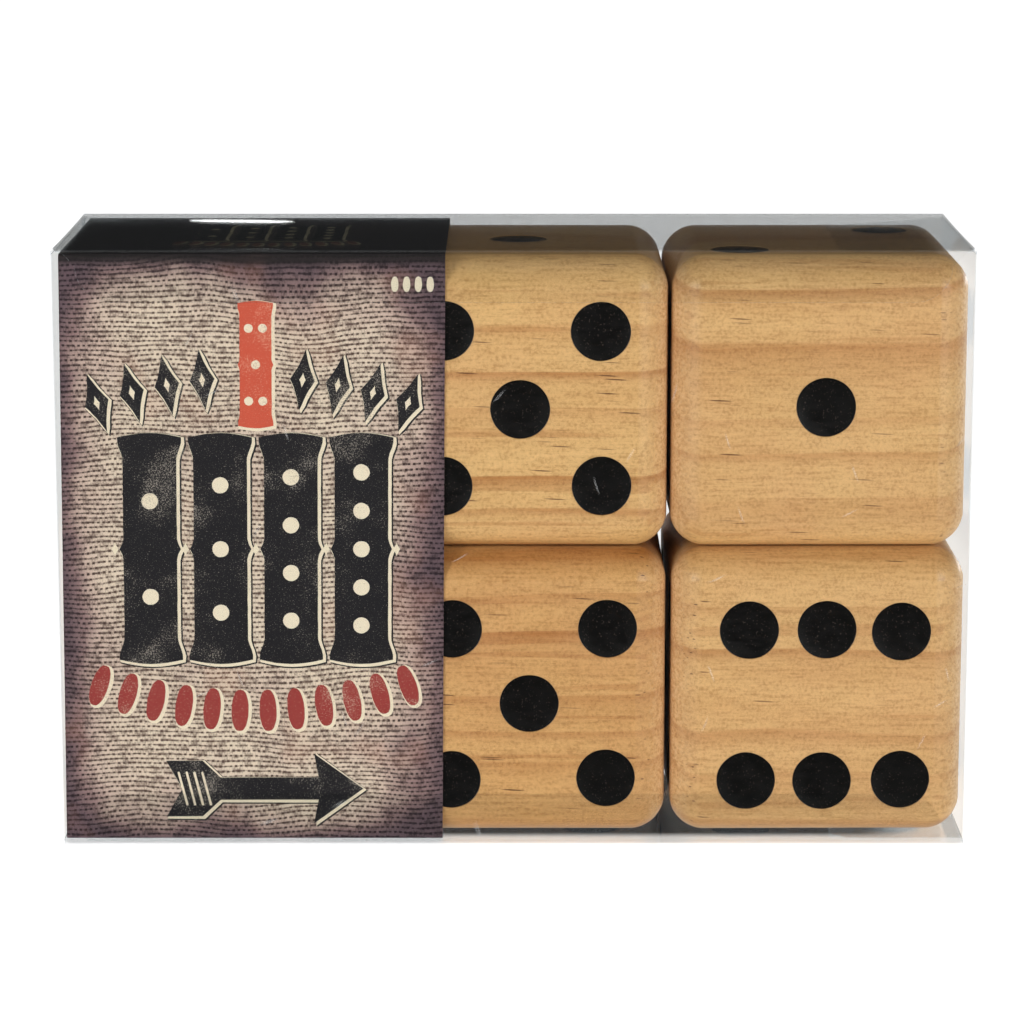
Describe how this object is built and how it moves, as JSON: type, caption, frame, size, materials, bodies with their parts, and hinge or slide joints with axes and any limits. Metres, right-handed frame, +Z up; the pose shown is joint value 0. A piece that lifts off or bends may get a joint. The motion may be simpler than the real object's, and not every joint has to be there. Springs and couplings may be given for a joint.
{
  "type": "giant yard dice set",
  "caption": "Large wooden dice for lawn games and a folded burlap bag, in a clear folding box with a tuck lid and a printed card sleeve.",
  "frame": {"origin": "middle of the base, on the surface that the pack stands on", "axes": "+Z up, +X along the pack's width to the right seen from the front, -Y out of the front wall"},
  "size_m": [0.2748, 0.0924, 0.1823],
  "materials": {
    "clear_film": "clear PET sheet, glossy",
    "printed_card": "printed with a weave pattern, satin",
    "card_inside": "bare grey board",
    "pine": "sanded pine, satin lacquer",
    "pip_paint": "black paint, satin",
    "burlap": "coarse jute weave"
  },
  "bodies": {
    "clear_box": {"front_wall": "clear_film", "right_wall": "clear_film", "back_wall": "clear_film", "left_wall": "clear_film", "glue_seam": "clear_film", "bottom_panel": "clear_film", "bottom_tongue": "clear_film", "bottom_left_flap": "clear_film", "bottom_right_flap": "clear_film"},
    "lid": {"lid": "clear_film"},
    "tuck_tongue": {"tuck_tongue": "clear_film"},
    "left_dust_flap": {"left_dust_flap": "clear_film"},
    "right_dust_flap": {"right_dust_flap": "clear_film"},
    "card_sleeve": {"card_front": "printed_card", "card_top": "printed_card", "card_back": "printed_card", "card_bottom": "printed_card", "card_glue_lap": "card_inside"},
    "die_top_right": {"die_top_right": "pine"},
    "die_top_middle": {"die_top_middle": "pine"},
    "die_bottom_right": {"die_bottom_right": "pine"},
    "die_bottom_middle": {"die_bottom_middle": "pine"},
    "die_bottom_left": {"die_bottom_left": "pine"},
    "burlap_bag": {"burlap_bag": "burlap"}
  },
  "joints": [
    {"name": "lid_fold", "type": "hinge", "parent": "clear_box", "child": "lid", "pos_m": [0, 0.0462, 0.1823], "axis": [-1, 0, 0], "range_deg": [0, 140]},
    {"name": "tuck_tongue_fold", "type": "hinge", "parent": "lid", "child": "tuck_tongue", "pos_m": [0, -0.045, 0.182], "axis": [1, 0, 0], "range_deg": [0, 70]},
    {"name": "left_dust_flap_fold", "type": "hinge", "parent": "clear_box", "child": "left_dust_flap", "pos_m": [-0.1374, 0, 0.1817], "axis": [0, -1, 0], "range_deg": [0, 70]},
    {"name": "right_dust_flap_fold", "type": "hinge", "parent": "clear_box", "child": "right_dust_flap", "pos_m": [0.1374, 0, 0.1817], "axis": [0, 1, 0], "range_deg": [0, 70]},
    {"name": "sleeve_slide", "type": "slide", "parent": "clear_box", "child": "card_sleeve", "axis": [1, 0, 0], "range_m": [0, 0.157]},
    {"name": "die_top_right_shift", "type": "slide", "parent": "clear_box", "child": "die_top_right", "axis": [1, 0, 0], "range_m": [-0.0004, 0.0006]},
    {"name": "die_top_middle_shift", "type": "slide", "parent": "clear_box", "child": "die_top_middle", "axis": [1, 0, 0], "range_m": [-0.001, 0.0005]},
    {"name": "die_bottom_right_shift", "type": "slide", "parent": "clear_box", "child": "die_bottom_right", "axis": [1, 0, 0], "range_m": [-0.001, 0]},
    {"name": "die_bottom_middle_shift", "type": "slide", "parent": "clear_box", "child": "die_bottom_middle", "axis": [1, 0, 0], "range_m": [-0.001, 0.0005]},
    {"name": "die_bottom_left_shift", "type": "slide", "parent": "clear_box", "child": "die_bottom_left", "axis": [1, 0, 0], "range_m": [-0.003, 0.0002]},
    {"name": "burlap_bag_shift", "type": "slide", "parent": "clear_box", "child": "burlap_bag", "axis": [1, 0, 0], "range_m": [-0.005, 0.0025]}
  ],
  "couplings": [
    {"joint": "tuck_tongue_fold", "follows": "lid_fold", "ratio": 0.5},
    {"joint": "left_dust_flap_fold", "follows": "lid_fold", "ratio": 0.5},
    {"joint": "right_dust_flap_fold", "follows": "lid_fold", "ratio": 0.5}
  ]
}
